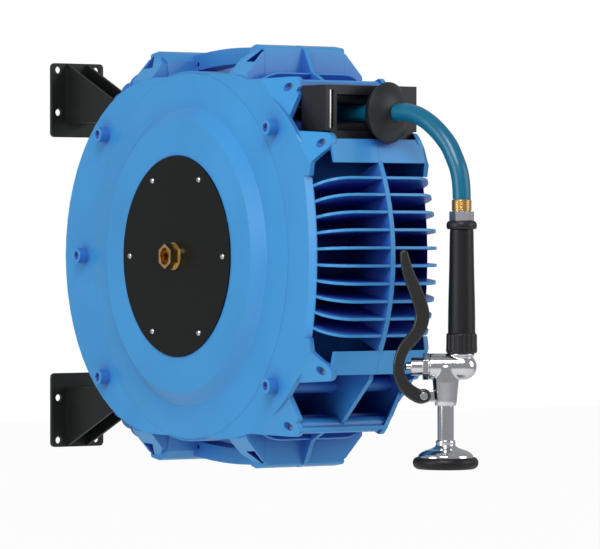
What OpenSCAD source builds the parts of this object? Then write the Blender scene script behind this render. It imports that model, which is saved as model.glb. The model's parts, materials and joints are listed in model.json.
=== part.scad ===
// Wall-mounted fire hose reel: two moulded case halves on a pair of swivel brackets,
// a spring drum inside, a roller guide at the outlet and a squeeze valve on the hose.
// The origin is the middle of the wall bolt pattern, +Z is up and the outlet faces -Y.

/* [Wall brackets] */
// Distance from the wall to the drum axis
axis_out = 372; // [360:1:400]
// Width of a wall plate
plate_w = 70; // [66:1:80]
// Height of a wall plate
plate_h = 87; // [80:1:96]
// Thickness of a wall plate
plate_t = 5; // [4:0.5:6]
// Distance of the outer end of each wall plate above or below the drum axis
plate_top = 226; // [222:1:232]
// Sideways distance between wall bolts
bolt_dx = 52; // [46:1:54]
// Upright distance between the bolts of one plate
bolt_dz = 50; // [44:1:56]
// Diameter of the wall bolt holes
wall_hole_d = 8.5; // [7:0.5:10]
// Thickness of the bracket webs and shelf
web_t = 3; // [2.5:0.5:4]
// Outside width over the two webs of a bracket
web_span = 29.6; // [28:0.2:32]
// Reach of a bracket shelf from the wall
shelf_reach = 152; // [150:1:156]
// Distance of a bracket shelf above or below the drum axis
shelf_z = 155; // [154:0.5:158]
// Distance from the wall to the swivel pins
pivot_out = 136; // [134:1:138]
// Diameter of the swivel pins
pivot_d = 12; // [10:0.5:12]

/* [Case] */
// Half width of the case at its flat side faces
case_half = 76; // [74:0.5:80]
// Wall thickness of the mouldings
wall = 3.5; // [3:0.1:4]
// Radius of the round barrel wall round the drum
barrel_r = 203; // [201:0.5:206]
// Radius of the rounded ends of the side outline
side_r = 198; // [196:0.5:201]
// Distance from the drum axis to the centres of the outline's round ends
side_c = 67; // [64:0.5:70]
// Radius of the raised disc in each side
disc_r = 150; // [146:1:154]
// Radius of the foot of the bevel round the raised disc
disc_foot_r = 164; // [160:1:168]
// Height of the raised disc above the side faces
disc_rise = 14.5; // [12:0.5:16]
// Radius of the arc that trims the front and rear of each side face
face_r = 364; // [350:1:380]
// Forward reach of the flat side face
face_reach = 240; // [232:1:246]
// Rise of the slanted flank per unit of its width
flank_slope = 0.7; // [0.5:0.05:1]
// Radius of the arc through the fin tips
tip_r = 222; // [218:0.5:226]
// Distance from the drum axis to the centre of the fin tip arc
tip_c = 63; // [60:0.5:66]
// Half width of a fin
fin_half = 71; // [68:0.5:74]
// Corner radius of a fin
fin_corner = 30; // [20:1:34]
// Thickness of a fin
fin_t = 3; // [2:0.1:4]
// Angle between neighbouring front fins
fin_pitch = 3.83; // [3.7:0.01:3.95]
// Angle between neighbouring upper rear fins
rear_pitch = 4.8; // [4.6:0.1:5]
// Half thickness of the ridge on the seam
seam_t = 2.6; // [2:0.1:4]
// Half length of the four lobes
lobe_half = 51.5; // [48:0.5:54]
// Distance of a lobe's outer corner in front of or behind the drum axis
lobe_y = 117.6; // [114:0.2:121]
// Height of a lobe's outer corner
lobe_z = 226.4; // [223:0.2:229]
// Height of the carry handle's crown
handle_z = 230; // [228:0.5:234]
// Thickness of the carry handle
handle_t = 18; // [15:0.5:20]
// Half width of the carry handle
handle_half = 13; // [10:0.5:16]
// Radius of the case bolt bosses
boss_r = 8.5; // [8:0.1:10]
// Diameter of the case bolts
case_bolt_d = 5; // [4:0.5:6]

/* [Side plates and inlet] */
// Radius of the side plates
cover_r = 110; // [106:0.5:114]
// Thickness of the side plates
cover_t = 2.5; // [2:0.1:3.5]
// Radius of the ring of side plate screws
cover_screw_r = 96; // [90:0.5:100]
// Width across the flats of the inlet fitting
inlet_af = 24; // [22:0.5:27]
// How far the inlet fitting stands out of the side plate
inlet_out = 14; // [10:0.5:18]
// Radius of the inlet thread
inlet_r = 9.3; // [8:0.1:9.5]
// Depth of the inlet thread
inlet_depth = 13; // [10:0.5:16]

/* [Hose] */
// Outside diameter of the hose
hose_d = 19; // [18:0.5:19]
// Height of the hose line in the roller guide
hose_z = 152; // [150:0.5:154]

/* [Drum] */
// Radius of the main shaft
shaft_r = 14; // [12:0.5:16]
// Radius of the drum hub
hub_r = 74; // [70:1:76]
// Radius of the drum flanges
drum_r = 182; // [176:1:186]
// Half width between the drum flanges
drum_half = 52; // [50:0.5:54]
// Thickness of the drum flanges
drum_t = 3.5; // [3:0.1:4]
// Radial running clearance of bushes, rollers and pins
run_gap = 0.06; // [0.02:0.01:0.1]
// Radius of the spring housing
spring_r = 100; // [96:1:104]
// Width of the power spring strip
spring_w = 19; // [16:0.5:20]
// Thickness of the power spring strip
strip_t = 0.9; // [0.6:0.1:1.2]
// Turns of the power spring
spring_turns = 9; // [7:1:11]
// Radius over the ratchet teeth
ratchet_r = 118; // [112:1:122]
// Number of ratchet teeth
ratchet_teeth = 24; // [18:1:30]

/* [Roller guide] */
// Half width of the guide frame
guide_half = 58.3; // [56:0.1:60]
// Distance of the guide's front face in front of the drum axis
guide_y = 245; // [243:0.5:248]
// Depth of the guide frame
guide_depth = 46; // [42:1:50]
// Height of the underside of the guide frame
guide_bottom = 124.5; // [123:0.1:126]
// Height of the top of the guide frame
guide_top = 181; // [179:0.1:182]
// Half width of the guide opening
mouth_half = 44; // [40:0.5:45]
// Half height of the guide opening
mouth_rise = 19; // [18:0.1:20]
// Radius of the horizontal rollers
roller_r = 7; // [6:0.1:7.2]
// Radius of the roller axles
axle_r = 3; // [2.5:0.1:3.5]
// Radius of the upright side rollers
side_roller_r = 3.4; // [3:0.1:3.6]
// Sideways distance of the upright side rollers
side_roller_x = 51; // [50:0.1:52]
// Radius of the hose stop
stop_r = 32.5; // [30:0.5:34]
// Radius of the hose stop's domed back
stop_back_r = 35; // [34.5:0.5:38]
// Sideways tilt of the hose stop
stop_tilt = 14; // [10:1:18]

/* [Spray valve] */
// Sideways place of the valve's grip axis
valve_x = 35; // [34:0.5:36]
// Distance of the valve's grip axis in front of the drum axis
valve_y = 359.5; // [358:0.5:361]
// Diameter of the valve's rubber grip at its lower end
grip_d = 28.4; // [26:0.2:30]
// Length of the rubber grip
grip_len = 107.8; // [100:0.2:116]
// Diameter of the outlet stem
stem_d = 17; // [15:0.5:18]
// Offset of the outlet stem from the grip's axis
stem_off = 16.6; // [14:0.2:18]
// Diameter of the rubber ring on the spray head
ring_d = 68.6; // [62:0.2:72]
// Diameter of the valve plunger
plunger_d = 9; // [8:0.5:10]

/* [Hidden] */
$fn = 96;
e = 0.3;          // gap between curved faces that meet
far = 600;        // longer than the whole object

blue = [0.25, 0.52, 0.82];
black = [0.10, 0.11, 0.11];
steel = [0.72, 0.73, 0.75];
brass = [0.80, 0.62, 0.30];
teal = [0.0, 0.47, 0.60];

hose_r = hose_d / 2;
pivot_y = axis_out - pivot_out;
fin_angles = [for (k = [0:4]) for (s = [-1, 1]) s * (k + 0.5) * fin_pitch];
beam_angle = 5.5 * fin_pitch;
rear_angles = [for (k = [0:7]) for (s = [-1, 1]) s * (beam_angle + k * rear_pitch)];
mouth_fin_angle = 56;
boss_spots = [[174, 137], [174, -137], [-174, 137], [-174, -137], [tip_c + 158, 0]];
wing_high = [-182, 180];
wing_low = [-244.5, 119.4];
wing_spots = [for (p = [wing_high, wing_low]) for (s = [-1, 1]) [p[0], s * p[1]]];
bolt_spots = concat(boss_spots, wing_spots);
disc_x = case_half + disc_rise;
disc_back = disc_x - wall;
cover_seat = 1;
boss_top = case_half + 12;
floor_z = guide_bottom - 0.3;
roof_z = guide_top + 0.3;

// Radius at which the fin tips lie, seen from the drum axis
function tip_at(a) = tip_c * cos(a) + sqrt(pow(tip_r, 2) - pow(tip_c * sin(a), 2));

module at_drum() { translate([0, -axis_out, 0]) children(); }
// Extrudes a (y, z) outline along X
module along_x(x0, x1) {
    translate([x0, 0, 0]) rotate([90, 0, 90]) linear_extrude(x1 - x0) children();
}
// Turns a (radius, x) outline about the drum axis
module about_x() { rotate([90, 0, 90]) rotate_extrude($fn = 180) children(); }
module rod_x(r, x0, x1, y = 0, z = 0) { translate([x0, y, z]) rotate([0, 90, 0]) cylinder(r = r, h = x1 - x0); }
module mirror_y() { children(); mirror([0, 1, 0]) children(); }
module mirror_z() { children(); mirror([0, 0, 1]) children(); }
module in_both_x() { intersection() { children(); mirror([1, 0, 0]) children(); } }
module mirror_x() { children(); mirror([1, 0, 0]) children(); }
module hexagon(af, h) { cylinder(d = af / cos(30), h = h, $fn = 6); }

// ---- Wall brackets: plate, two webs and a shelf, for the upper side ----
module bracket() {
    hole_edge = 8;
    hole_z = [plate_top - hole_edge, plate_top - hole_edge - bolt_dz];
    web_in = web_span / 2 - web_t;
    difference() {
        union() {
            wall_plate(plate_top - plate_h / 2);
            for (s = [-1, 1]) translate([s > 0 ? web_in : -web_span / 2, 0, 0])
                rotate([90, 0, 90]) linear_extrude(web_t)
                    polygon([[-plate_t, plate_top - 1], [-shelf_reach, shelf_z + 7],
                             [-shelf_reach, shelf_z], [-plate_t, shelf_z]]);
            translate([-web_span / 2, -shelf_reach, shelf_z]) cube([web_span, shelf_reach - plate_t, web_t + 1]);
        }
        for (x = [-1, 1]) for (z = hole_z)
            translate([x * bolt_dx / 2, 1, z]) rotate([90, 0, 0]) cylinder(d = wall_hole_d, h = plate_t + 2);
        translate([0, -pivot_out, shelf_z - 1]) cylinder(r = pivot_d / 2 + 0.1, h = web_t + 3);
    }
}
module wall_plate(z_mid) {
    corner = 5;
    rotate([90, 0, 0]) linear_extrude(plate_t) translate([0, z_mid]) union() {
        square([plate_w - 2 * corner, plate_h], center = true);
        square([plate_w, plate_h - 2 * corner], center = true);
        for (x = [-1, 1]) for (z = [-1, 1])
            translate([x * (plate_w / 2 - corner), z * (plate_h / 2 - corner)]) circle(corner);
    }
}
module wall_bracket_upper() { color(black) bracket(); }
module wall_bracket_lower() { color(black) mirror([0, 0, 1]) bracket(); }

washer_t = 2;
shelf_t = web_t + 1;
lug_top = shelf_z - washer_t;
lug_t = 14;
nut_t = 8;
module pivot_bolts() {
    color(steel) mirror_z() translate([0, -pivot_out, 0]) {
        translate([0, 0, shelf_z + shelf_t]) hexagon(18, 6.5);
        translate([0, 0, lug_top - lug_t - washer_t - nut_t - 3])
            cylinder(d = pivot_d, h = shelf_z + shelf_t - lug_top + lug_t + washer_t + nut_t + 3);
    }
}
module pivot_nuts() {
    color(steel) mirror_z() translate([0, -pivot_out, lug_top - lug_t - washer_t - nut_t]) difference() {
        hexagon(18, nut_t);
        translate([0, 0, -1]) cylinder(r = pivot_d / 2 + 0.05, h = nut_t + 2);
    }
}
module pivot_washers() {
    color(black) mirror_z() for (z = [lug_top, lug_top - lug_t - washer_t])
        translate([0, -pivot_out, z]) difference() {
            cylinder(r = 12.5, h = washer_t);
            translate([0, 0, -1]) cylinder(r = pivot_d / 2 + 0.1, h = washer_t + 2);
        }
}

// ---- Case ----
module side_outline() {
    corner = side_r;
    polygon(concat(
        [for (t = [-90:6:90]) [side_c + corner * cos(t), corner * sin(t)]],
        [for (t = [90:6:270]) [-side_c + corner * cos(t), corner * sin(t)]]));
}
// Wing round the two mouth bolts, upper front corner
module wing_outline() {
    polygon(concat([[-115, 90], [-115, 190], [-150, 190]],
        [for (t = [80:20:200]) wing_high + 11.5 * [cos(t), sin(t)]],
        [[-197, 172], [-197, 134]],
        [for (t = [100:20:240]) wing_low + 11.5 * [cos(t), sin(t)]],
        [[-243, 100], [-240, 85]]));
}
// Everything inside the slanted flank of a wing, whose face lies along the direction wing_dir
wing_dir = 134;
wing_start = 239;
function wing_d(p) = p[0] * cos(wing_dir) + abs(p[1]) * sin(wing_dir);
module wing_side(shift) {
    rotate([wing_dir, 0, 0]) translate([0, 0, -far]) linear_extrude(2 * far) polygon(
        [[-case_half + shift, -far], [-case_half + shift, wing_start],
         [-case_half + shift + flank_slope * 200, wing_start + 200], [far, wing_start + 200], [far, -far]]);
}
module flank_plate() {
    skin = 5.5;
    difference() {
        along_x(-case_half, -case_half + skin) side_outline();
        rod_x(barrel_r - wall - 0.5, -far, 0);
        difference() { along_x(-far, 0) translate([-far, -far]) square([far, 2 * far]); face_side(); }
    }
    mirror_z() difference() {
        intersection() { along_x(-case_half, -30) wing_outline(); wing_side(0); }
        wing_side(skin + 0.4);
        rod_x(barrel_r - wall - 0.5, -far, 0);
    }
}
// Everything inside the slanted front edge of a side face
module face_side() {
    run = 50;
    translate([-case_half, face_r - face_reach, 0]) rotate([0, 90, 0])
        cylinder(r1 = face_r, r2 = face_r + run / flank_slope, h = run, $fn = 180);
}
// Raised disc, bevel and outer annulus of one side
module dish() {
    about_x() difference() {
        polygon([[0, -disc_x], [disc_r, -disc_x], [disc_foot_r, -case_half - 3.2], [barrel_r - wall + 1, -case_half - 0.2],
                 [barrel_r - wall + 1, -case_half + 5], [disc_foot_r + 2, -case_half - 3.2 + wall],
                 [disc_r + 2, -disc_back], [0, -disc_back]]);
        translate([-1, -disc_x - 1]) square([cover_r + 1.3, cover_seat + 1]);
    }
}
// One fin of the left half, in the plane of its own angle
module fin(a, tip) {
    inner = barrel_r - 1.5;
    rotate([-a, 0, 0]) translate([0, 0, -fin_t / 2]) linear_extrude(fin_t) polygon(concat(
        [[0, -inner], [-fin_half, -inner]],
        [for (t = [180:15:270]) [-fin_half + fin_corner + fin_corner * cos(t), -tip + fin_corner + fin_corner * sin(t)]],
        [[0, -tip]]));
}
module fins() {
    for (a = fin_angles) fin(a, tip_at(a));
    mirror([0, 1, 0]) for (a = fin_angles) fin(a, tip_at(a));
    mirror([0, 1, 0]) for (a = rear_angles) fin(a, tip_at(a));
    for (a = [-1, 1]) fin(a * mouth_fin_angle, 238);
}
// Ridge along the seam, which follows the fin tips
module seam_arc(a0, a1, side) {
    polygon(concat([for (k = [0:12]) let(a = a0 + (a1 - a0) * k / 12) (tip_at(a) + 0.8) * [side * cos(a), sin(a)]],
                   [for (k = [12:-1:0]) let(a = a0 + (a1 - a0) * k / 12) (barrel_r - 1.5) * [side * cos(a), sin(a)]]));
}
module seam_ridge() {
    along_x(-seam_t, 0) {
        seam_arc(-beam_angle, beam_angle, -1);
        seam_arc(-56, 56, 1);
        // the ridge runs on over the lobes and down to the mouth
        for (z = [-1, 1]) {
            polygon([[-lobe_y - 1.5, z * (lobe_z - 1)], [-lobe_y + 12, z * (lobe_z + 2.4)],
                     [-lobe_y + 12, z * 185], [-150, z * 180], [-157, z * 188], [-134, z * 199]]);
            polygon([[lobe_y + 1.5, z * (lobe_z - 1)], [lobe_y - 12, z * (lobe_z + 2.4)],
                     [lobe_y - 12, z * 185], [134, z * 185]]);
        }
    }
}
// One of the open-ended ridges that carry the handle
module lobe() {
    foot = 192;
    along_x(-lobe_half, 0) difference() {
        polygon([[-lobe_y - 1, foot], [-lobe_y, lobe_z - 2], [-lobe_y + 2, lobe_z], [-lobe_y + 18, lobe_z + 2.6],
                 [-lobe_y + 27, lobe_z], [-82, 218], [-76, foot]]);
        lobe_hollow();
    }
}
module lobe_hollow() {
    polygon([[-lobe_y + 3, lobe_z - 17], [-lobe_y + 3, lobe_z - 4.5], [-lobe_y + 6, lobe_z - 3], [-lobe_y + 21, lobe_z - 16]]);
}
module lobes() {
    mirror_z() mirror_y() lobe();
    mirror_z() mirror_y() difference() {
        lobe_gusset();
        along_x(-far, 1) lobe_hollow();
    }
}
// Fillet web from a lobe's end down to the side face
module lobe_gusset() {
    intersection() {
        along_x(-case_half + 1, -lobe_half + 8) polygon(
            [[-lobe_y - 1, 170], [-lobe_y, lobe_z - 6], [-lobe_y + 20, lobe_z - 3], [-82, 214], [-76, 170]]);
        rotate([90, 0, 0]) translate([0, 0, -far]) linear_extrude(2 * far) polygon(
            [[-case_half + 1, 170], [-case_half + 1, 196], [-lobe_half, lobe_z - 4], [-lobe_half + 9, lobe_z - 4], [-lobe_half + 9, 170]]);
    }
}
// Upper handle: an arched grip between the lobes, left half
module handle() {
    bow = 6;
    half = lobe_y - 27;
    arc_r = (half * half + bow * bow) / (2 * bow);
    difference() {
        along_x(-handle_half, 0) intersection() {
            difference() {
                translate([0, handle_z - arc_r]) circle(arc_r, $fn = 360);
                translate([0, handle_z - arc_r]) circle(arc_r - handle_t, $fn = 360);
            }
            translate([-half - 3, 190]) square([2 * half + 6, 60]);
        }
        for (y = [-1, 1]) translate([0, y * (half - 12), 214]) rod_x(2.4, -handle_half - 1, 1);
        // eased long edge
        translate([-handle_half, -far / 2, handle_z - 5]) rotate([0, -40, 0]) translate([-8, 0, 0]) cube([8, far, 14]);
    }
}
// Walls of the mouth: roof, floor, front beam and cheeks
module mouth() {
    beam_y = -254;
    intersection() {
        wing_side(0);
        along_x(-case_half, 0) union() {
            polygon([[-120, roof_z], [-193, roof_z], [-193, roof_z + 4.5], [-120, roof_z + 6]]);
            polygon([[-160, floor_z], [beam_y, floor_z], [beam_y, floor_z - 4], [-160, floor_z - 4]]);
        }
    }
    // front beam below the opening
    intersection() {
        wing_side(0);
        along_x(-guide_half, 0) polygon([[beam_y, floor_z], [beam_y + 4, floor_z], [-258, 99], [-262, 99]]);
    }
}
lug_y = pivot_out - axis_out; // swivel lug seen from the drum axis, negated below
// Half of the upper swivel lug, a thick bracket on the rear of the case
module lug() {
    z0 = lug_top - lug_t;
    difference() {
        union() {
            translate([-22, 120, z0]) cube([22, -lug_y - 120, lug_t]);
            intersection() {
                translate([0, -lug_y, z0]) cylinder(r = 22, h = lug_t);
                translate([-30, 0, 0]) cube([30, far, far]);
            }
        }
        rotate([0, 90, 0]) cylinder(r = barrel_r - 1, h = far, center = true);
        translate([0, -lug_y, z0 - 1]) cylinder(r = pivot_d / 2 + run_gap, h = lug_t + 2);
    }
}
// Room for the bracket shelf, the pin's nut and the swing of the case
module swing_room() {
    mirror_z() {
        translate([-far / 2, -lug_y - 23, lug_top]) cube([far, far, far]);
        translate([0, -lug_y, lug_top - lug_t - washer_t - nut_t - 8]) cylinder(r = 15, h = far);
        translate([-24, -lug_y - 23, lug_top - lug_t - washer_t - nut_t - 8]) cube([48, 40, 30]);
    }
}
// Solid form of the left half before its bores are cut
module half_form() {
    difference() {
        union() {
            flank_plate();
            dish();
            rod_tube();
            difference() { fins(); mouth_room(); }
            difference() { seam_ridge(); hose_slot(); }
            mouth();
            mirror([0, 0, 1]) { mouth(); lower_web(); }
            lobes();
            for (p = bolt_spots) boss(p);
        }
        swing_room();
    }
    mirror_z() lug();
}
module rod_tube() {
    difference() {
        rod_x(barrel_r, -case_half + 1, 0);
        rod_x(barrel_r - wall, -case_half, 1);
    }
}
// Keeps the mouth clear of the fins and the ridge
module mouth_room() {
    mirror_z() along_x(-far, 1) polygon([[-150, floor_z], [-far, floor_z], [-far, roof_z], [-150, roof_z]]);
}
module hose_slot() { along_x(-far, 1) polygon([[-130, floor_z - 20], [-far, floor_z - 20], [-far, 190], [-130, 190]]); }
// Seam web inside the lower mouth, with its sloping edge
module lower_web() {
    along_x(-seam_t, 0) polygon([[-150, floor_z - 2], [-246, floor_z - 2], [-244, floor_z + 6], [-186, roof_z + 1], [-100, roof_z + 1]]);
    intersection() {
        wing_side(0);
        along_x(-case_half, 0) polygon([[-150, roof_z - 12], [-168, roof_z - 12], [-168, roof_z - 8], [-150, roof_z - 8]]);
    }
}
function boss_x(p) = p[0] > -180 ? boss_top : case_half - flank_slope * (wing_d(p) - wing_start);
module boss(p) {
    is_wing = p[0] < -180;
    top = is_wing ? case_half : boss_top;
    if (is_wing) difference() {
        intersection() {
            rod_x(boss_r, -top, 0, p[0], p[1]);
            if (p[1] > 0) wing_side(0); else mirror([0, 0, 1]) wing_side(0);
        }
        mirror_z() translate([-far, wing_low[0] - 20, floor_z]) cube([far + 1, 40, 20]);
    }
    else rod_x(boss_r, -top, 0, p[0], p[1]);
}
// Scoop below the handle, for the fingers
scoop_z = 190;
scoop_y = 62;
scoop_x = 46;
module scoop_wall() {
    mirror_z() intersection() {
        translate([-scoop_x - wall, -scoop_y - wall, scoop_z - wall]) cube([scoop_x + wall, 2 * (scoop_y + wall), 40]);
        rod_x(barrel_r, -far, far);
    }
}
module scoop_room() { mirror_z() translate([-scoop_x, -scoop_y, scoop_z]) cube([scoop_x + 1, 2 * scoop_y, 22]); }
module half_shell(inlet) {
    bore = shaft_r + 0.1;
    difference() {
        union() {
            difference() {
                half_form();
                scoop_room();
                // the drum's space
                about_x() polygon([[0, 1], [barrel_r - wall, 1], [barrel_r - wall, -case_half + wall],
                                   [disc_foot_r + 2, -case_half - 3.2 + wall - 0.01], [disc_r + 2, -disc_back], [0, -disc_back]]);
            }
            difference() { scoop_wall(); scoop_room(); }
            rod_x(shaft_r + 9, -disc_x + cover_seat, -disc_back + 8);
            mirror_z() handle();
            if (inlet) rod_x(6.5, -disc_back - 1, -pawl_x - pawl_t - e, pawl_y, pawl_z);
        }
        rod_x(bore, -far, 1);
        // the hose's way from the drum into the mouth
        translate([-mouth_half - 2, -220, floor_z + 2]) cube([mouth_half + 3, 150, roof_z - floor_z - 4]);
        for (p = bolt_spots) {
            rod_x(case_bolt_d / 2 + 0.2, -far, 1, p[0], p[1]);
            rod_x(case_bolt_d / 2 + 2.1, -far, -boss_x(p) + 7, p[0], p[1]);
        }
        for (a = [0:60:359]) rotate([a, 0, 0]) rod_x(1.6, -far, -disc_back + 1, cover_screw_r, 0);
        if (inlet) rod_x(pawl_pin_r + 0.05, -disc_back + 1, 1, pawl_y, pawl_z);
    }
}
module case_shell_left() { color(blue) at_drum() half_shell(true); }
module case_shell_right() { color(blue) at_drum() mirror([1, 0, 0]) half_shell(false); }

module case_bolts() {
    color(steel) at_drum() for (p = bolt_spots) {
        rod_x(case_bolt_d / 2, -boss_x(p) + 5, boss_x(p) - 4, p[0], p[1]);
        rod_x(case_bolt_d / 2 + 1.9, -boss_x(p) + 3.5, -boss_x(p) + 7, p[0], p[1]);
    }
}
module case_nuts() {
    color(steel) at_drum() for (p = bolt_spots) translate([boss_x(p) - 7, p[0], p[1]]) rotate([0, 90, 0])
        difference() {
            cylinder(r = case_bolt_d / 2 + 1.9, h = 3);
            translate([0, 0, -1]) cylinder(r = case_bolt_d / 2 + 0.05, h = 5);
        }
}

// ---- Side plates, inlet and shaft ----
plate_x = disc_x - cover_seat;
module side_plate(hole) {
    difference() {
        rod_x(cover_r, -plate_x - cover_t, -plate_x);
        rod_x(hole, -far, far);
        for (a = [0:60:359]) rotate([a, 0, 0]) rod_x(1.7, -far, far, cover_screw_r, 0);
    }
}
module side_plate_left() { color(black) at_drum() side_plate(shaft_r + 0.1); }
module side_plate_right() { color(black) at_drum() mirror([1, 0, 0]) side_plate(shaft_r + 0.1); }
module side_plate_screws() {
    color(black) at_drum() mirror_x() for (a = [0:60:359]) rotate([a, 0, 0]) {
        rod_x(1.5, -plate_x - cover_t - 0.5, -disc_back + 1.5, cover_screw_r, 0);
        translate([-plate_x - cover_t, cover_screw_r, 0]) rotate([0, -90, 0]) cylinder(r1 = 3.2, r2 = 2.2, h = 1.6);
    }
}
shaft_end = plate_x + cover_t;
module inlet_fitting() {
    color(brass) at_drum() difference() {
        union() {
            translate([-shaft_end - inlet_out, 0, 0]) rotate([0, 90, 0]) hexagon(inlet_af, inlet_out - 3);
            rod_x(inlet_af / 2 + 3, -shaft_end - 3, -shaft_end);
            rod_x(inlet_r - 1.4, -shaft_end - 1, -shaft_end + 12);
        }
        rod_x(inlet_r, -far, -shaft_end - inlet_out + inlet_depth);
        rod_x(5, -far, far);
    }
}
module main_shaft() {
    color(steel) at_drum() difference() {
        rod_x(shaft_r, -shaft_end, shaft_end + 5);
        rod_x(inlet_r - 1.35, -far, -shaft_end + 12);
        rod_x(5, -far, -feed_x + 30);
        // cross hole that feeds the drum
        translate([-feed_x, 0, 0]) cylinder(r = 4.5, h = shaft_r + 1);
        // slot for the spring's inner end
        translate([spring_x, -0.8, 4]) cube([spring_w + 1, 1.6, shaft_r]);
        for (s = [-1, 1]) clip_groove(s);
    }
}
feed_x = 24;
spring_x = drum_half + drum_t + 2.5;
module clip_groove(s) {
    about_x() translate([shaft_r - 1, s > 0 ? shaft_end + 0.4 : -disc_back + 8]) square([2, 1.4]);
}
module shaft_clips() {
    color(steel) at_drum() for (s = [-1, 1]) difference() {
        translate([s > 0 ? shaft_end + 0.5 : -disc_back + 8.1, 0, 0]) rotate([0, 90, 0]) cylinder(r = shaft_r + 3.5, h = 1.2);
        rod_x(shaft_r - 0.95, -far, far);
        translate([-far, -3, 0]) cube([2 * far, 6, far]);
    }
}

// ---- Drum ----
bush_r = shaft_r + 4;
module drum_hub() {
    color(black) at_drum() difference() {
        union() {
            difference() { rod_x(hub_r, -drum_half, drum_half); rod_x(hub_r - 4, -drum_half - 1, drum_half + 1); }
            rod_x(bush_r + 5, -drum_half, drum_half);
            for (a = [30:120:359]) rotate([a, 0, 0]) translate([-drum_half, 0, -2]) cube([2 * drum_half, hub_r - 2, 4]);
            for (a = [0:60:359]) rotate([a, 0, 0]) rod_x(6, -drum_half, drum_half, hub_r - 8, 0);
        }
        rod_x(bush_r + 0.05, -far, far);
        for (a = [0:60:359]) rotate([a, 0, 0]) rod_x(2.6, -far, far, hub_r - 8, 0);
        // the feed elbow's way out of the hub
        translate([-feed_x, 0, bush_r - 2]) cylinder(r = 7.2, h = far);
    }
}
module drum_flange(s) {
    x0 = s > 0 ? drum_half : -drum_half - drum_t;
    difference() {
        union() {
            rod_x(drum_r, x0, x0 + drum_t);
            about_x() translate([drum_r - 4, s > 0 ? x0 : x0 - 3]) square([4, drum_t + 3]);
        }
        rod_x(bush_r + 0.05, -far, far);
        for (a = [0:60:359]) rotate([a, 0, 0]) rod_x(2.6, -far, far, hub_r - 8, 0);
        for (a = [0:30:359]) rotate([a, 0, 0]) rod_x(13, -far, far, 149, 0);
    }
}
module drum_flange_left() { color(black) at_drum() drum_flange(-1); }
module drum_flange_right() { color(black) at_drum() drum_flange(1); }
module drum_bolts() {
    color(steel) at_drum() for (a = [0:60:359]) rotate([a, 0, 0]) translate([0, hub_r - 8, 0]) {
        rod_x(2.5, -drum_half - drum_t - 2, drum_half + drum_t);
        rod_x(4.4, -drum_half - drum_t - 2.4, -drum_half - drum_t);
    }
}
module drum_bushes() {
    color(brass) at_drum() mirror_x() difference() {
        rod_x(bush_r, -drum_half - drum_t, -drum_half + 12);
        rod_x(shaft_r + run_gap, -far, far);
    }
}
module shaft_seals() {
    color(black) at_drum() for (x = [-36, -12]) about_x() difference() {
        translate([shaft_r + run_gap, x - 2]) square([4 - run_gap, 4]);
    }
}
module feed_elbow() {
    color(brass) at_drum() difference() {
        union() {
            translate([-feed_x, 0, bush_r - 2]) cylinder(r = 7, h = hub_r - bush_r - 4);
            rod_x(bush_r, -33.8, -14.2);
        }
        rod_x(shaft_r + run_gap, -far, far);
        translate([-feed_x, 0, 0]) cylinder(r = 4.5, h = hub_r);
    }
}
wrap_pitch = hose_d - 0.4;
module wound_hose() {
    layers = 4;
    across = 5;
    color(teal) at_drum() about_x() difference() {
        union() for (k = [0:layers - 1]) for (i = [0:across - 1 - k % 2])
            translate([hub_r + e + hose_r + k * wrap_pitch * 0.87, (i - (across - 1 - k % 2) / 2) * wrap_pitch]) circle(hose_r, $fn = 48);
        square([hub_r + e, far], center = true);
    }
}
module ratchet_ring() {
    x1 = -drum_half - drum_t;
    tooth = 360 / ratchet_teeth;
    outline = [for (k = [0:ratchet_teeth - 1]) each [ratchet_r * [cos(k * tooth), sin(k * tooth)],
                                                     (ratchet_r - 9) * [cos(k * tooth + 1.5), sin(k * tooth + 1.5)]]];
    color(black) at_drum() difference() {
        along_x(x1 - 6, x1) difference() { polygon(outline); circle(ratchet_r - 20); }
    }
}
pawl_x = drum_half + drum_t + 0.5;
pawl_y = 70;
pawl_z = -124;
pawl_pin_r = 3;
pawl_t = 5;
pawl_hub_r = 6;
// The pawl lies along the ring and its nose rests in a tooth
pawl_nose = [ratchet_r - 7, -73];
module ratchet_pawl() {
    nose = pawl_nose[0] * [cos(pawl_nose[1]), sin(pawl_nose[1])];
    color(steel) at_drum() difference() {
        along_x(-pawl_x - pawl_t, -pawl_x) union() {
            translate([pawl_y, pawl_z]) circle(pawl_hub_r);
            polygon([[pawl_y - 1, pawl_z - pawl_hub_r], [pawl_y - 3, pawl_z + pawl_hub_r - 1],
                     nose + [1.5, 1], nose + [0, -5], nose + [12, -14]]);
        }
        rod_x(pawl_pin_r + run_gap, -far, far, pawl_y, pawl_z);
    }
}
module pawl_pin() {
    color(steel) at_drum() rod_x(pawl_pin_r, -disc_back + 1.05, -pawl_x + 0.1, pawl_y, pawl_z);
}
housing_x = drum_half + drum_t;
housing_w = spring_w + 4;
module spring_housing() {
    color(black) at_drum() difference() {
        rod_x(spring_r, housing_x, housing_x + housing_w);
        rod_x(spring_r - 2.5, housing_x + 2, far);
        rod_x(bush_r, -far, far);
    }
}
module spring_cover() {
    color(steel) at_drum() difference() {
        rod_x(spring_r, housing_x + housing_w, housing_x + housing_w + 1.5);
        rod_x(shaft_r + 11, -far, far);
    }
}
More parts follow.
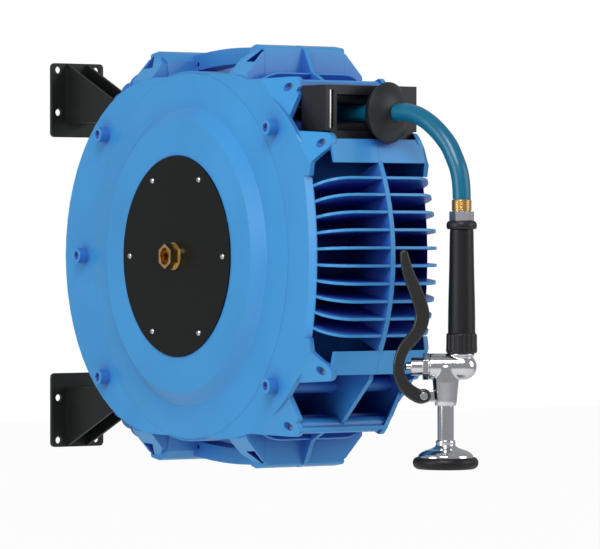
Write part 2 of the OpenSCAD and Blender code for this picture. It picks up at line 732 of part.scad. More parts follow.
// Flat spiral: its inner end sits in the shaft's slot, its outer end at the housing wall
module power_spring() {
    r0 = shaft_r + 3;
    r1 = spring_r - 2.5 - e - strip_t;
    steps = spring_turns * 24;
    function at(i, out) = let(a = 90 + 360 * spring_turns * i / steps, r = r0 + (r1 - r0) * i / steps + out)
        r * [cos(a), sin(a)];
    color(steel) at_drum() along_x(spring_x, spring_x + spring_w) polygon(concat(
        [[-strip_t / 2, r0], [-strip_t / 2, shaft_r - 4], [strip_t / 2, shaft_r - 4], [strip_t / 2, r0 + strip_t]],
        [for (i = [1:steps]) at(i, strip_t)], [for (i = [steps:-1:1]) at(i, 0)]));
}

// ---- Roller guide ----
roller_top_z = hose_z + hose_r + 0.6 + roller_r;
roller_bottom_z = hose_z - hose_r - 0.6 - roller_r;
roller_y = -guide_y + 14;
side_roller_y = -guide_y + 5;
pin_z = 133.6;
pin_top = guide_top - 3.2;
module guide_frame() {
    color(black) at_drum() difference() {
        translate([-guide_half, -guide_y, guide_bottom]) cube([2 * guide_half, guide_depth, guide_top - guide_bottom]);
        // the opening for the hose, wider behind the front lip
        translate([-mouth_half, -guide_y - 1, hose_z - mouth_rise]) cube([2 * mouth_half, guide_depth + 2, 2 * mouth_rise]);
        translate([-mouth_half, -guide_y + 4, guide_bottom + 3]) cube([2 * mouth_half, 22, guide_top - guide_bottom - 6]);
        for (z = [roller_top_z, roller_bottom_z]) rod_x(axle_r + 0.05, -guide_half + 3, guide_half - 3, roller_y, z);
        // room for the case's lower wing corners
        mirror_x() translate([-guide_half - 1, -guide_y - 1, guide_bottom - 1]) cube([guide_half - 51, 15, 9]);
        mirror_x() translate([-side_roller_x, side_roller_y, pin_z - 0.2])
            cylinder(r = side_roller_r + run_gap, h = pin_top - pin_z + 0.4);
        // open sides of the side rollers' grooves
        translate([-side_roller_x - 2.6, -guide_y - 1, pin_z + 2]) cube([5.2, 6, pin_top - pin_z - 4]);
        translate([mouth_half - 1, side_roller_y - 2.6, pin_z + 2]) cube([side_roller_x - mouth_half, 5.2, pin_top - pin_z - 4]);
    }
}
module guide_axles() {
    color(steel) at_drum() for (z = [roller_top_z, roller_bottom_z]) rod_x(axle_r, -guide_half + 3.1, guide_half - 3.1, roller_y, z);
}
module roller(z) {
    at_drum() difference() {
        rod_x(roller_r, -mouth_half + 1, mouth_half - 1, roller_y, z);
        rod_x(axle_r + run_gap, -far, far, roller_y, z);
    }
}
module roller_top() { color(black) roller(roller_top_z); }
module roller_bottom() { color(black) roller(roller_bottom_z); }
module side_roller(s) {
    at_drum() translate([s * side_roller_x, side_roller_y, pin_z]) cylinder(r = side_roller_r, h = pin_top - pin_z);
}
module side_roller_left() { color(steel) side_roller(-1); }
module side_roller_right() { color(steel) side_roller(1); }

// ---- Hose stop: a domed rubber disc in two halves, clamped on the hose ----
// Middle of the stop's widest circle, seen from the drum axis
rim_depth = sqrt(pow(stop_back_r, 2) - pow(stop_r, 2));
stop_out = guide_y + sqrt(pow(stop_back_r + e, 2) - pow(mouth_rise, 2)) - rim_depth * cos(stop_tilt);
stop_at = [10.6, -stop_out, hose_z];
front_rise = 12;
stop_seat = 6;
front_dome_r = (pow(stop_r, 2) + pow(front_rise, 2)) / (2 * front_rise);
// Profile of the stop as (radius, height) over its widest circle, outside the hose's bore
module stop_profile() {
    bore = hose_r + 0.05;
    back0 = asin(bore / stop_back_r);
    back1 = asin(stop_r / stop_back_r);
    front1 = asin(stop_r / front_dome_r);
    front0 = asin(bore / front_dome_r);
    polygon(concat(
        [for (k = [0:10]) let(a = back0 + (back1 - back0) * k / 10) [stop_back_r * sin(a), rim_depth - stop_back_r * cos(a)]],
        [for (k = [1:10]) let(a = front1 + (front0 - front1) * k / 10)
            [front_dome_r * sin(a), front_rise - front_dome_r + front_dome_r * cos(a)]]));
}
module stop_half(s) {
    at_drum() translate(stop_at) rotate([90, 0, stop_tilt]) difference() {
        rotate([0, 0, -90 * s]) rotate_extrude(angle = 180) stop_profile();
        for (y = [-20, 20]) translate([0, y, -4]) rotate([0, 90, 0]) {
            translate([0, 0, -15]) cylinder(r = 1.6, h = 40);
            if (s > 0) translate([0, 0, stop_seat]) cylinder(r = 3.3, h = 30);
        }
    }
}
module hose_stop_left() { color(black) stop_half(-1); }
module hose_stop_right() { color(black) stop_half(1); }
module hose_stop_screws() {
    color(steel) at_drum() translate(stop_at) rotate([90, 0, stop_tilt])
        for (s = [-1, 1]) translate([0, s * 20, -4]) rotate([0, 90, 0]) {
            translate([0, 0, -14]) cylinder(r = 1.55, h = stop_seat + 15);
            translate([0, 0, stop_seat]) cylinder(r = 3.2, h = 2.5);
        }
}

// ---- Hose ----
lead_route = [[-41, 8, 0], [-41, -20, 0], [-40, -45, 0], [-36.5, -72, 0], [-30.5, -98, 0],
              [-20, -140, 0], [-10, -180, 0], [0, -220, 0], [13.4, -273.8, 0]];
free_route = [[13.4, -273.8, 0], [16.65, -286.85, 0], [20, -300, -3.2], [23, -312.5, -9], [26, -324, -17],
              [28.5, -334, -26], [31, -343, -36.5], [32.5, -350, -48.5], [34, -355.5, -61],
              [34.8, -358.5, -74.5], [35, -359.5, -88.5], [35, -359.5, -92]];
function along(p, i) = let(a = p[max(i - 1, 0)], b = p[min(i + 1, len(p) - 1)]) (b - a) / norm(b - a);
// Points of a ring round route point i
function ring(p, i, r, n) = let(t = along(p, i), s = [t[1], -t[0], 0], u0 = norm(s) > 0.01 ? s / norm(s) : [0.97, 0.24, 0],
    v = cross(t, u0)) [for (k = [0:n - 1]) p[i] + r * (cos(360 * k / n) * u0 + sin(360 * k / n) * v)];
module tube(p, r, n) {
    m = len(p);
    polyhedron(
        points = [for (i = [0:m - 1]) each ring(p, i, r, n)],
        faces = concat([[for (k = [0:n - 1]) k]], [[for (k = [n - 1:-1:0]) (m - 1) * n + k]],
            [for (i = [0:m - 2]) for (k = [0:n - 1])
                [i * n + k, (i + 1) * n + k, (i + 1) * n + (k + 1) % n, i * n + (k + 1) % n]]));
}
module hose_lead() { color(teal) at_drum() translate([0, 0, hose_z]) tube(lead_route, hose_r, 12); }
module free_hose() { color(teal) at_drum() translate([0, 0, hose_z]) tube(free_route, hose_r, 12); }

// ---- Spray valve, built round the grip's axis with the lever side at +X ----
valve_turn = 146.5;
hose_end_z = hose_z - 92;
module at_valve() { at_drum() translate([valve_x, -valve_y, 0]) rotate([0, 0, valve_turn]) children(); }
module turned(points) { rotate_extrude() polygon(points); }
nut_z = hose_end_z - 12.6;
collar_z = nut_z - 9.3;
grip_z = collar_z - 9.2;
grip_end = grip_z - grip_len;
sleeve_end = grip_end - 21;
axis_z = sleeve_end - 13.8;
module hose_coupling() {
    color(brass) at_valve() difference() {
        union() {
            translate([0, 0, nut_z]) cylinder(d = 21, h = hose_end_z - nut_z);
            translate([0, 0, nut_z - 8]) cylinder(d = 17, h = 9);
        }
        translate([0, 0, nut_z - 9]) cylinder(d = 11, h = 30);
    }
}
module coupling_nut() {
    color(steel) at_valve() translate([0, 0, collar_z]) difference() {
        hexagon(22.4, nut_z - collar_z);
        translate([0, 0, -1]) cylinder(d = 17.1, h = 20);
    }
}
module grip_collar() {
    color(black) at_valve() translate([0, 0, grip_z]) difference() {
        turned([[9, 0], [14.8, 0], [15.8, 1.2], [15.8, 6.5], [14.4, collar_z - grip_z], [9, collar_z - grip_z]]);
    }
}
module grip() {
    r_low = grip_d / 2;
    r_top = r_low - 1.8;
    color(black) at_valve() turned([[6, grip_end], [r_low, grip_end], [r_low, grip_end + 6], [r_top, grip_z - 8],
                                    [r_top - 0.6, grip_z], [6, grip_z]]);
}
module grip_sleeve() {
    r = grip_d / 2 + 2;
    color(black) at_valve() difference() {
        turned([[6, sleeve_end], [r - 1.5, sleeve_end], [r, sleeve_end + 2], [r, grip_end - 3], [r - 1.5, grip_end], [6, grip_end]]);
        for (a = [0:20:359]) rotate([0, 0, a]) translate([r + 0.6, 0, sleeve_end + 4]) cylinder(r = 1.6, h = far);
    }
}
lug_at = [39.3, axis_z - 30.5];
stem_top = axis_z - 41;
stem_end = stem_top - 35.5;
lever_pin_r = 2.5;
lug_half = 4;
module valve_body() {
    chamber_r = 13.6;
    color(steel) at_valve() difference() {
        union() {
            turned([[0, axis_z], [11, axis_z], [11, sleeve_end - 4], [13.5, sleeve_end - 2], [13.5, sleeve_end], [0, sleeve_end]]);
            translate([-2, 0, axis_z]) rotate([0, 90, 0]) cylinder(r = chamber_r, h = 35.5);
            translate([-2, 0, axis_z]) sphere(chamber_r);
            translate([stem_off, 0, 0]) turned([[0, axis_z], [14.5, axis_z], [13.5, axis_z - 16], [11.5, stem_top + 4], [10.6, stem_top], [0, stem_top]]);
            translate([stem_off, -lug_half, lug_at[1] - 6]) cube([lug_at[0] - stem_off, 2 * lug_half, 12]);
            translate([lug_at[0], 0, lug_at[1]]) rotate([90, 0, 0]) cylinder(r = 6, h = 2 * lug_half, center = true);
        }
        translate([lug_at[0], 0, lug_at[1]]) rotate([90, 0, 0]) cylinder(r = lever_pin_r + 0.05, h = 20, center = true);
        translate([12, 0, axis_z]) rotate([0, 90, 0]) cylinder(r = 8, h = 40);
    }
}
bonnet_x = 33.5;
module bonnet() {
    color(steel) at_valve() translate([bonnet_x, 0, axis_z]) rotate([0, 90, 0]) difference() {
        union() { hexagon(24, 7); cylinder(d = 26, h = 1.5); cylinder(d = 18.7, h = 19); translate([0, 0, -8]) cylinder(r = 7.95, h = 9); }
        translate([0, 0, -9]) cylinder(d = plunger_d + 2 * run_gap, h = 40);
        translate([0, 0, -9]) cylinder(d = plunger_d + 4.4, h = 24);
    }
}
plunger_tip = 59.6;
module plunger() {
    dome = 6.5;
    color(steel) at_valve() translate([0, 0, axis_z]) rotate([0, 90, 0]) union() {
        translate([0, 0, 20]) cylinder(d = plunger_d, h = plunger_tip - 22.5);
        intersection() { translate([0, 0, plunger_tip - dome]) sphere(dome); translate([0, 0, 40]) cylinder(d = plunger_d, h = 40); }
        translate([0, 0, 24]) cylinder(d = plunger_d + 4, h = 2);
    }
}
module plunger_spring() {
    turns = 3;
    n = 16 * turns;
    x0 = 16.8;
    x1 = 23.5;
    pts = [for (i = [0:n]) [x0 + (x1 - x0) * i / n, 5.7 * cos(360 * turns * i / n), 5.7 * sin(360 * turns * i / n)]];
    color(steel) at_valve() translate([0, 0, axis_z]) tube(pts, 0.5, 6);
}
module outlet_stem() {
    color(steel) at_valve() translate([stem_off, 0, 0]) difference() {
        translate([0, 0, stem_end]) cylinder(d = stem_d, h = stem_top - stem_end);
        translate([0, 0, stem_end - 1]) cylinder(d = stem_d - 4, h = 60);
    }
}
bell_r = ring_d / 2 - 5.3;
bell_top = stem_end;
ring_top = bell_top - 13;
ring_h = 17;
module spray_bell() {
    color(steel) at_valve() translate([stem_off, 0, 0]) turned(
        [[stem_d / 2 - 2, bell_top], [stem_d / 2 + 1.5, bell_top], [stem_d / 2 + 2.4, bell_top - 6], [17, bell_top - 9.5],
         [bell_r - 4, ring_top + 0.4], [bell_r, ring_top - 3], [bell_r, ring_top - 8], [bell_r - 2, ring_top - 8],
         [bell_r - 2.4, ring_top - 4], [14, bell_top - 12], [stem_d / 2 - 2, bell_top - 10]]);
}
module bell_ring() {
    r = ring_d / 2;
    color(black) at_valve() translate([stem_off, 0, 0]) turned(
        [[bell_r + 0.05, ring_top - 3], [bell_r + 2, ring_top - 0.5], [r - 1, ring_top - 4], [r, ring_top - 8], [r - 1.4, ring_top - ring_h + 2],
         [r - 5, ring_top - ring_h], [bell_r - 5, ring_top - ring_h], [bell_r - 5, ring_top - 12], [bell_r + 0.05, ring_top - 12]]);
}
module spray_plate() {
    color(steel) at_valve() translate([stem_off, 0, ring_top - 12]) difference() {
        cylinder(r = bell_r - 0.05, h = 3.9);
        for (k = [1:3]) for (a = [0:360 / (6 * k):359]) rotate([0, 0, a]) translate([6 * k, 0, -1]) cylinder(d = 1.8, h = 9, $fn = 16);
    }
}
lever_line = [[60, 4], [56, -14], [49, -32], [43, -48], [41, -60], [43.5, -72], [51.5, -84], [60, -94],
              [65.2, -108], [64.5, -122], [57.5, -135], [45, -143.6], [39.3, -143.3]];
lever_width = [7, 10, 12, 13, 13, 12.5, 11.5, 10.5, 9.4, 10.5, 12, 13, 13];
// Smooth curve through a list at parameter t
function smooth(p, t) = let(i = min(floor(t), len(p) - 2), f = t - i, a = p[max(i - 1, 0)], b = p[i], c = p[i + 1],
    d = p[min(i + 2, len(p) - 1)]) 0.5 * (2 * b + (c - a) * f + (2 * a - 5 * b + 4 * c - d) * f * f + (3 * b - a - 3 * c + d) * f * f * f);
function lever_side(t, s) = let(p = smooth(lever_line, t), q = smooth(lever_line, t + 0.02) - smooth(lever_line, t - 0.02),
    w = smooth(lever_width, t)) p + s * w / 2 * [q[1], -q[0]] / norm(q);
module lever() {
    steps = [for (t = [0.04:0.24:11.6]) t];
    half = 7;
    shift = lug_at[1] + 143.3;
    color(black) at_valve() translate([0, 0, shift]) difference() {
        union() {
            translate([0, half, 0]) rotate([90, 0, 0]) linear_extrude(2 * half) union() {
                polygon(concat([for (t = steps) lever_side(t, 1)], [for (i = [len(steps) - 1:-1:0]) lever_side(steps[i], -1)]));
                translate(lever_line[0]) circle(3.5);
                translate([lug_at[0], -143.3]) circle(6.5);
            }
        }
        // slot for the valve's lug, and the pivot bore
        translate([-10, -lug_half - e, -160]) cube([62, 2 * (lug_half + e), 27]);
        translate([lug_at[0], 0, -143.3]) rotate([90, 0, 0]) cylinder(r = lever_pin_r + run_gap, h = 30, center = true);
    }
}
module lever_screw() {
    color(steel) at_valve() translate([lug_at[0], 0, lug_at[1]]) rotate([90, 0, 0]) {
        cylinder(r = lever_pin_r, h = 15, center = true);
        for (s = [-1, 1]) translate([0, 0, s * 8.2]) cylinder(r = 4, h = 1.8, center = true);
    }
}

wall_bracket_upper();
wall_bracket_lower();
pivot_bolts();
pivot_nuts();
pivot_washers();
case_shell_left();
case_shell_right();
case_bolts();
case_nuts();
side_plate_left();
side_plate_right();
side_plate_screws();
inlet_fitting();
main_shaft();
shaft_clips();
drum_hub();
drum_flange_left();
drum_flange_right();
drum_bolts();
drum_bushes();
shaft_seals();
feed_elbow();
wound_hose();
ratchet_ring();
ratchet_pawl();
pawl_pin();
spring_housing();
spring_cover();
power_spring();
guide_frame();
guide_axles();
roller_top();
roller_bottom();
side_roller_left();
side_roller_right();
hose_stop_left();
hose_stop_right();
hose_stop_screws();
hose_lead();
free_hose();
hose_coupling();
coupling_nut();
grip_collar();
grip();
grip_sleeve();
valve_body();
bonnet();
outlet_stem();
spray_bell();
bell_ring();
spray_plate();
lever();
lever_screw();
plunger();
plunger_spring();
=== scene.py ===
# Wall-mounted hose reel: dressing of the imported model.
import json
import math

import bmesh
import bpy
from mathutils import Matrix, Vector


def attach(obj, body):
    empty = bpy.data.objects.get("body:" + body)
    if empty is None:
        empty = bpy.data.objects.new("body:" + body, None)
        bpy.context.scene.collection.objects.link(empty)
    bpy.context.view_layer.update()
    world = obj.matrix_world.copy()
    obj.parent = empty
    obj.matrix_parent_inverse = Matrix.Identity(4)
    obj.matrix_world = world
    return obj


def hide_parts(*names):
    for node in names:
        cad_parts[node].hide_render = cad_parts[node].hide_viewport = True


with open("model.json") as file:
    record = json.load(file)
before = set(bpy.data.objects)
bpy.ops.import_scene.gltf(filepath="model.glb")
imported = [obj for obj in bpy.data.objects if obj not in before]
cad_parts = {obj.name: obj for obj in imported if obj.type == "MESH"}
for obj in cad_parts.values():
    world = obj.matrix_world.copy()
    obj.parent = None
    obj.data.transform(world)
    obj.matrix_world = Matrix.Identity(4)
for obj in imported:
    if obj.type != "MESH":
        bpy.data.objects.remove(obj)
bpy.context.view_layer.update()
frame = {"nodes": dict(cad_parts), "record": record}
nodes = frame["nodes"]
record = frame["record"]

BODY_OF = {n: b for b, names in record["behaviour"]["bodies"].items() for n in names}
SLOT_OF = {s["node"]: s["material_slot"] for s in record["subparts"]}

# Distances of the model's own drawing, in metres
AXIS_OUT = 0.372
HOSE_Z = 0.152
HOSE_R = 0.0095


def at_drum(x, y, z):
    """A point given from the drum's axis in millimetres, in the row frame."""
    return Vector((x / 1000, y / 1000 - AXIS_OUT, z / 1000))


# ---- Camera ----
VIEW_TURN = math.radians(33.52)
VIEW_DIP = math.radians(0.47)
LENS_MM = 247.1
CAMERA_AT = Vector((-2.4675, -4.2054, 0.0170))


def make_camera():
    data = bpy.data.cameras.new("camera")
    data.lens = LENS_MM
    data.sensor_width = 36
    data.clip_end = 50
    cam = bpy.data.objects.new("camera", data)
    level = math.cos(VIEW_DIP)
    look = Vector((math.sin(VIEW_TURN) * level, math.cos(VIEW_TURN) * level, -math.sin(VIEW_DIP)))
    cam.location = CAMERA_AT
    cam.rotation_mode = "QUATERNION"
    cam.rotation_quaternion = look.to_track_quat("-Z", "Y")
    bpy.context.collection.objects.link(cam)
    bpy.context.scene.camera = cam


make_camera()


# ---- Making pieces ----
def add(name, mesh_or_curve, body, replaced=()):
    obj = bpy.data.objects.new(name, mesh_or_curve)
    bpy.context.collection.objects.link(obj)
    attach(obj, body)
    if replaced:
        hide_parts(*replaced)
    return obj


# ---- The free hose ----
FREE_ROUTE = [(13.4, -273.8, 0), (16.65, -286.85, 0), (20, -300, -3.2), (23, -312.5, -9), (26, -324, -17),
              (28.5, -334, -26), (31, -343, -36.5), (32.5, -350, -48.5), (34, -355.5, -61),
              (34.8, -358.5, -74.5), (35, -359.5, -88.5), (35, -359.5, -92)]


def smooth_line(points, steps):
    """Points along the smooth curve through the given ones."""
    out = []
    last = len(points) - 1
    for i in range(last):
        a, b = points[max(i - 1, 0)], points[i]
        c, d = points[i + 1], points[min(i + 2, last)]
        for k in range(steps):
            t = k / steps
            square = (2 * a - 5 * b + 4 * c - d) * t * t
            cube = (3 * b - a - 3 * c + d) * t ** 3
            out.append(0.5 * (2 * b + (c - a) * t + square + cube))
    return out + [points[last]]


def tube_curve(name, points, radius, caps=True):
    data = bpy.data.curves.new(name, "CURVE")
    data.dimensions = "3D"
    data.bevel_depth = radius
    data.bevel_resolution = 10
    data.use_fill_caps = caps
    line = data.splines.new("POLY")
    line.points.add(len(points) - 1)
    for point, p in zip(line.points, points):
        point.co = (*p, 1)
    line.use_smooth = True
    return data


hose_line = smooth_line([at_drum(x, y, z + HOSE_Z * 1000) for x, y, z in FREE_ROUTE], 4)
free_hose = add("hose_free", tube_curve("hose_free", hose_line, HOSE_R), "case", ["free_hose"])


# ---- Materials ----
def link(tree, a, b):
    tree.links.new(a, b)


def noise(tree, coords, scale, detail=3.0):
    tex = tree.nodes.new("ShaderNodeTexNoise")
    tex.inputs["Scale"].default_value = scale
    tex.inputs["Detail"].default_value = detail
    link(tree, coords, tex.inputs["Vector"])
    return tex.outputs["Fac"]


def ramp(tree, value, stops):
    node = tree.nodes.new("ShaderNodeValToRGB")
    elements = node.color_ramp.elements
    for i, (place, color) in enumerate(stops):
        e = elements[i] if i < 2 else elements.new(place)
        e.position = place
        e.color = (*color, 1)
    link(tree, value, node.inputs["Fac"])
    return node.outputs["Color"]


def spread(tree, value, low, high):
    node = tree.nodes.new("ShaderNodeMapRange")
    node.inputs["To Min"].default_value = low
    node.inputs["To Max"].default_value = high
    link(tree, value, node.inputs["Value"])
    return node.outputs["Result"]


COAT_ROUGH = 0.12
ROUGH_SPREAD = 0.05
# Samples of the occlusion that places the painted gap shade.
GAP_SHADE_SAMPLES = 8
EASE_SAMPLES = 6


def material(name, color, rough, metal=0.0, coat=0.0, grain=400.0, grain_depth=0.0, mottle=0.06,
             ease=0.0, gap_shade=None, specular=0.5):
    """A finish whose colour, roughness and relief vary with noise. ease rounds its edges, in metres.
    The gap option paints shade into deep gaps: its painted shade colour, how far it looks for walls in metres,
    and its low and high share."""
    mat = bpy.data.materials.new(name)
    mat.use_nodes = True
    tree = mat.node_tree
    shader = tree.nodes["Principled BSDF"]
    coords = tree.nodes.new("ShaderNodeTexCoord").outputs["Object"]
    broad = noise(tree, coords, 9.0)
    dark = [c * (1 - mottle) for c in color]
    light = [min(c * (1 + mottle), 1) for c in color]
    base = ramp(tree, broad, [(0.3, dark), (0.7, light)])
    # Painted shade: occlusion blends a darker colour into gaps and recesses, where shade falls.
    if gap_shade:
        shade = tree.nodes.new("ShaderNodeAmbientOcclusion")
        shade.samples = GAP_SHADE_SAMPLES
        shade.inputs["Distance"].default_value = gap_shade[1]
        mix = tree.nodes.new("ShaderNodeMix")
        mix.data_type = "RGBA"
        link(tree, spread(tree, shade.outputs["AO"], gap_shade[2], gap_shade[3]), mix.inputs["Factor"])
        mix.inputs["A"].default_value = (*gap_shade[0], 1)
        link(tree, base, mix.inputs["B"])
        base = mix.outputs["Result"]
    link(tree, base, shader.inputs["Base Color"])
    fine = noise(tree, coords, grain, 2.0)
    gloss = spread(tree, fine, max(rough - ROUGH_SPREAD, 0.02), rough + ROUGH_SPREAD)
    link(tree, gloss, shader.inputs["Roughness"])
    shader.inputs["Metallic"].default_value = metal
    shader.inputs["Coat Weight"].default_value = coat
    shader.inputs["Coat Roughness"].default_value = COAT_ROUGH
    shader.inputs["Specular IOR Level"].default_value = specular
    bump = tree.nodes.new("ShaderNodeBump")
    bump.inputs["Strength"].default_value = 0.25 if grain_depth else 0.02
    bump.inputs["Distance"].default_value = grain_depth or 0.0001
    link(tree, fine, bump.inputs["Height"])
    if ease:
        round_edge = tree.nodes.new("ShaderNodeBevel")
        round_edge.samples = EASE_SAMPLES
        round_edge.inputs["Radius"].default_value = ease
        link(tree, round_edge.outputs["Normal"], bump.inputs["Normal"])
    link(tree, bump.outputs["Normal"], shader.inputs["Normal"])
    return mat


CASE_BLUE = (0.034, 0.240, 0.53)
# Painted shade colour, blended into the case's gaps and recesses.
CASE_GAP_SHADE = (0.022, 0.030, 0.38)
FINISH = {
    "bracket_black": material("bracket_black", (0.007, 0.008, 0.008), 0.45,
                              grain=900, grain_depth=0.0004, ease=0.0006, specular=0.3),
    "zinc_steel": material("zinc_steel", (0.55, 0.56, 0.58), 0.3, metal=1.0, grain=300, ease=0.0004),
    "spring_steel": material("spring_steel", (0.2, 0.22, 0.26), 0.38, metal=1.0, grain=300),
    # The case blue gets painted shade in its gaps.
    "case_blue": material("case_blue", CASE_BLUE, 0.38,
                          coat=0.15, grain=700, grain_depth=0.0002, ease=0.0016, specular=0.35,
                          gap_shade=(CASE_GAP_SHADE, 0.05, 0.0, 1.0)),
    "plate_black": material("plate_black", (0.004, 0.005, 0.005), 0.38,
                            grain=800, grain_depth=0.0002, ease=0.0006, specular=0.15),
    "brass": material("brass", (0.62, 0.42, 0.17), 0.24, metal=1.0, grain=500, ease=0.0004),
    "black_plastic": material("black_plastic", (0.008, 0.008, 0.010), 0.4,
                              grain=600, grain_depth=0.0002, ease=0.0005, specular=0.35),
    "black_rubber": material("black_rubber", (0.005, 0.005, 0.006), 0.42,
                             grain=900, grain_depth=0.0004, ease=0.0006, specular=0.3),
    "stop_grey": material("stop_grey", (0.010, 0.012, 0.013), 0.4,
                          grain=700, grain_depth=0.0003, ease=0.0006, specular=0.35),
    "hose_teal": material("hose_teal", (0.0, 0.105, 0.19), 0.3,
                          coat=0.12, grain=300, grain_depth=0.0001, specular=0.35),
    "chrome": material("chrome", (0.60, 0.60, 0.62), 0.1, metal=1.0, grain=200, ease=0.0008, mottle=0.02),
    "spray_grey": material("spray_grey", (0.3, 0.31, 0.33), 0.4, grain=500, ease=0.0004),
    "lever_black": material("lever_black", (0.008, 0.008, 0.008), 0.28,
                            coat=0.2, grain=700, grain_depth=0.0002, ease=0.0010),
}


def paint(obj, slot):
    obj.data.materials.clear()
    obj.data.materials.append(FINISH[slot])


paint(free_hose, "hose_teal")
for name, obj in nodes.items():
    for place in obj.material_slots:
        place.material = FINISH[SLOT_OF[name]]


# ---- Dressed pieces ----
VALVE_X, VALVE_Y = 35.0, -359.5
STEM_SHIFT = 16.6
VALVE_TURN = math.radians(146.5)
# Heights of the valve's joints over the drum's axis, in millimetres
HOSE_END, NUT_TOP, COLLAR_TOP, GRIP_TOP = 60.0, 47.4, 38.1, 28.9
GRIP_END, SLEEVE_END = -78.9, -99.9
STEM_END, RING_TOP = -190.2, -206.7
RING_H = 13.5
FLUTES, FLUTE_DEPTH = 12, 0.9


def shade(mesh, sharp_angle=35):
    """Smooth faces with sharp edges where they meet at more than the angle."""
    bm = bmesh.new()
    bm.from_mesh(mesh)
    for face in bm.faces:
        face.smooth = True
    for edge in bm.edges:
        edge.smooth = len(edge.link_faces) == 2 and edge.calc_face_angle(0) < math.radians(sharp_angle)
    bm.to_mesh(mesh)
    bm.free()


def lathe(name, profile, shift=0.0, steps=96, flutes=None):
    """Turns a closed (radius, height) outline in millimetres about the valve's axis, or the stem's if shifted.
    flutes(angle, radius, height) may change a radius."""
    turn = Vector((math.cos(VALVE_TURN), math.sin(VALVE_TURN), 0)) * shift
    bm = bmesh.new()
    rings = []
    for k in range(steps):
        a = 2 * math.pi * k / steps
        ring = []
        for r, z in profile:
            if flutes:
                r = flutes(a, r, z)
            x = VALVE_X + turn.x + r * math.cos(a)
            y = VALVE_Y + turn.y + r * math.sin(a)
            ring.append(bm.verts.new(at_drum(x, y, z)))
        rings.append(ring)
    count = len(profile)
    for k in range(steps):
        a, b = rings[k], rings[(k + 1) % steps]
        for i in range(count):
            j = (i + 1) % count
            bm.faces.new((a[i], a[j], b[j], b[i]))
    bmesh.ops.recalc_face_normals(bm, faces=bm.faces)
    mesh = bpy.data.meshes.new(name)
    bm.to_mesh(mesh)
    bm.free()
    shade(mesh)
    return mesh


def curve_through(points, steps=5):
    return [(p.x, p.y) for p in smooth_line([Vector((r, z, 0)) for r, z in points], steps)]


def turned_piece(name, node, profile, **options):
    obj = add(name, lathe(name, profile, **options), BODY_OF[node], [node])
    paint(obj, SLOT_OF[node])
    return obj


def thread_profile():
    """Brass coupling: a ridged thread over a plain neck."""
    pitch, low, high = 1.8, 9.7, 10.5
    outline = [(5.5, NUT_TOP - 8), (8.5, NUT_TOP - 8), (8.5, NUT_TOP), (9.7, NUT_TOP + 0.3)]
    z = NUT_TOP + 1.0
    while z < HOSE_END - pitch:
        outline += [(low, z), (high, z + 0.35 * pitch), (high, z + 0.65 * pitch)]
        z += pitch
    return outline + [(low, z), (low, HOSE_END - 0.6), (low - 0.6, HOSE_END), (5.5, HOSE_END)]


def sleeve_radius(angle, radius, height):
    """Narrow flutes round the grip's lower sleeve."""
    if radius < 15 or not SLEEVE_END + 2.5 < height < GRIP_END - 1.5:
        return radius
    wave = 0.5 + 0.5 * math.cos(FLUTES * angle)
    return radius - FLUTE_DEPTH * wave ** 4


def above(height, *points):
    """Outline points whose heights are given from one of the valve's joints."""
    return [(r, height + z) for r, z in points]


coupling = turned_piece("coupling_thread", "hose_coupling", thread_profile())

collar_bead = curve_through(
    above(GRIP_TOP, (13.6, 0), (14.6, 0.2), (15.7, 1.9), (15.9, 4.2), (15.4, 6.6), (13.9, 8.4))
    + above(COLLAR_TOP, (12.0, 0)))
turned_piece("collar_bead", "grip_collar", [(9, GRIP_TOP)] + collar_bead + [(9, COLLAR_TOP)])

grip_taper = curve_through(
    above(GRIP_END, (14.2, 5), (13.9, 30)) + above(GRIP_TOP, (13.0, -40), (12.5, -8), (12.3, -2), (12.0, 0)))
turned_piece("grip_tube", "grip", above(GRIP_END, (6, 0), (14.2, 0), (14.2, 5)) + grip_taper + [(6, GRIP_TOP)])

sleeve_wall = curve_through(
    above(SLEEVE_END, (14.6, 0), (15.6, 0.6), (16.2, 2.4), (16.2, 6), (16.0, 13))
    + above(GRIP_END, (16.0, -3.5), (15.8, -1.6), (14.8, -0.3), (14.3, 0)))
turned_piece("sleeve", "grip_sleeve", [(6, SLEEVE_END)] + sleeve_wall + [(6, GRIP_END)],
             steps=192, flutes=sleeve_radius)

bell_outside = curve_through(
    above(STEM_END, (8.7, 0), (9.8, -0.6), (10.3, -2.5), (10.1, -4.6), (11.2, -6.6), (15.5, -8.8),
          (21.5, -10.8), (26.2, -13.4), (28.6, -16.2), (29.0, -20.8)))
bell_inside = above(STEM_END, (27, -20.8), (26.4, -17), (14, -12.2), (6.5, -10))
turned_piece("bell", "spray_bell", [(6.5, STEM_END)] + bell_outside + bell_inside, shift=STEM_SHIFT)

ring_lip = curve_through(
    above(RING_TOP, (29.1, -2.8), (30.2, -1.3), (32.2, -2.2), (33.9, -4.8), (34.2, -7.3), (33.2, -10.6),
          (30.6, -13.0), (27.5, -RING_H), (25.0, -13.0), (24.2, -11.1), (24.4, -9.6)))
turned_piece("ring_rubber", "bell_ring", ring_lip + above(RING_TOP, (29.1, -9.5)), shift=STEM_SHIFT)


def melted(name, node, voxel, rounds, strength=0.6, grow=0.0):
    """A copy of a CAD piece as one cast or moulded form: its joints run into each other.
    grow makes up for what melting takes off, in metres."""
    mesh = nodes[node].data.copy()
    obj = add(name, mesh, BODY_OF[node], [node])
    remesh = obj.modifiers.new("form", "REMESH")
    remesh.mode = "VOXEL"
    remesh.voxel_size = voxel
    remesh.use_smooth_shade = True
    if grow:
        swell = obj.modifiers.new("grow", "DISPLACE")
        swell.mid_level = 0.0
        swell.strength = grow
    blend = obj.modifiers.new("melt", "SMOOTH")
    blend.factor = strength
    blend.iterations = rounds
    paint(obj, SLOT_OF[node])
    return obj


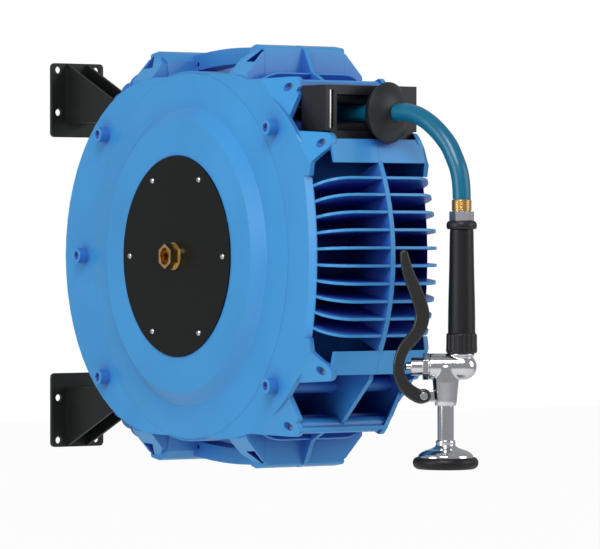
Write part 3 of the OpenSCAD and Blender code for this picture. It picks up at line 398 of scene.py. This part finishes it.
melted("valve_casting", "valve_body", 0.0006, 12)
melted("lever_moulding", "lever", 0.0007, 8, 0.5, grow=0.0009)

# ---- Stage and light ----
FLOOR_GLOW = 1.08
FLOOR_GLOW_SHARE = 0.85
WORLD_LIGHT = 0.42


def stage_material(name, color):
    """A matt floor with a glow that only the camera sees, and with the object's shadow."""
    mat = bpy.data.materials.new(name)
    mat.use_nodes = True
    tree = mat.node_tree
    shader = tree.nodes["Principled BSDF"]
    coords = tree.nodes.new("ShaderNodeTexCoord").outputs["Object"]
    stops = [(0.3, color), (0.7, [c * 0.99 for c in color])]
    link(tree, ramp(tree, noise(tree, coords, 3.0), stops), shader.inputs["Base Color"])
    shader.inputs["Roughness"].default_value = 0.9
    glow = tree.nodes.new("ShaderNodeEmission")
    glow.inputs["Strength"].default_value = FLOOR_GLOW
    part = tree.nodes.new("ShaderNodeMath")
    part.operation = "MULTIPLY"
    part.inputs[1].default_value = FLOOR_GLOW_SHARE
    link(tree, tree.nodes.new("ShaderNodeLightPath").outputs["Is Camera Ray"], part.inputs[0])
    mix = tree.nodes.new("ShaderNodeMixShader")
    link(tree, part.outputs[0], mix.inputs[0])
    link(tree, shader.outputs[0], mix.inputs[1])
    link(tree, glow.outputs[0], mix.inputs[2])
    link(tree, mix.outputs[0], tree.nodes["Material Output"].inputs["Surface"])
    return mat


def plane(name, size, location, rotation=(0, 0, 0)):
    mesh = bpy.data.meshes.new(name)
    h = size / 2
    mesh.from_pydata([(-h, -h, 0), (h, -h, 0), (h, h, 0), (-h, h, 0)], [], [(0, 1, 2, 3)])
    obj = bpy.data.objects.new(name, mesh)
    obj.location = location
    obj.rotation_euler = rotation
    bpy.context.collection.objects.link(obj)
    return obj


FLOOR_Z = -0.95
floor = plane("floor", 30, (0, 0, FLOOR_Z))
floor.data.materials.append(stage_material("floor_pale", (0.93, 0.93, 0.93)))


def make_world():
    world = bpy.data.worlds.new("studio")
    bpy.context.scene.world = world
    world.use_nodes = True
    tree = world.node_tree
    tree.nodes.clear()
    out = tree.nodes.new("ShaderNodeOutputWorld")
    seen = tree.nodes.new("ShaderNodeBackground")
    seen.inputs["Color"].default_value = (1, 1, 1, 1)
    seen.inputs["Strength"].default_value = 1.0
    light = tree.nodes.new("ShaderNodeBackground")
    light.inputs["Color"].default_value = (0.95, 0.97, 1.0, 1)
    light.inputs["Strength"].default_value = WORLD_LIGHT
    mix = tree.nodes.new("ShaderNodeMixShader")
    link(tree, tree.nodes.new("ShaderNodeLightPath").outputs["Is Camera Ray"], mix.inputs[0])
    link(tree, light.outputs[0], mix.inputs[1])
    link(tree, seen.outputs[0], mix.inputs[2])
    link(tree, mix.outputs[0], out.inputs["Surface"])


def area_light(name, location, size, power, target=(0, -0.40, 0)):
    data = bpy.data.lights.new(name, "AREA")
    data.shape = "DISK"
    data.size = size
    data.energy = power
    obj = bpy.data.objects.new(name, data)
    obj.location = location
    obj.rotation_mode = "QUATERNION"
    obj.rotation_quaternion = (Vector(target) - Vector(location)).to_track_quat("-Z", "Y")
    bpy.context.collection.objects.link(obj)


make_world()
area_light("key", (-1.6, -2.4, 2.2), 1.6, 70)
area_light("side", (-3.0, -0.6, 0.6), 1.8, 34)
area_light("fill", (2.0, -2.6, 0.8), 2.0, 26)
bpy.context.scene.view_settings.view_transform = "Standard"
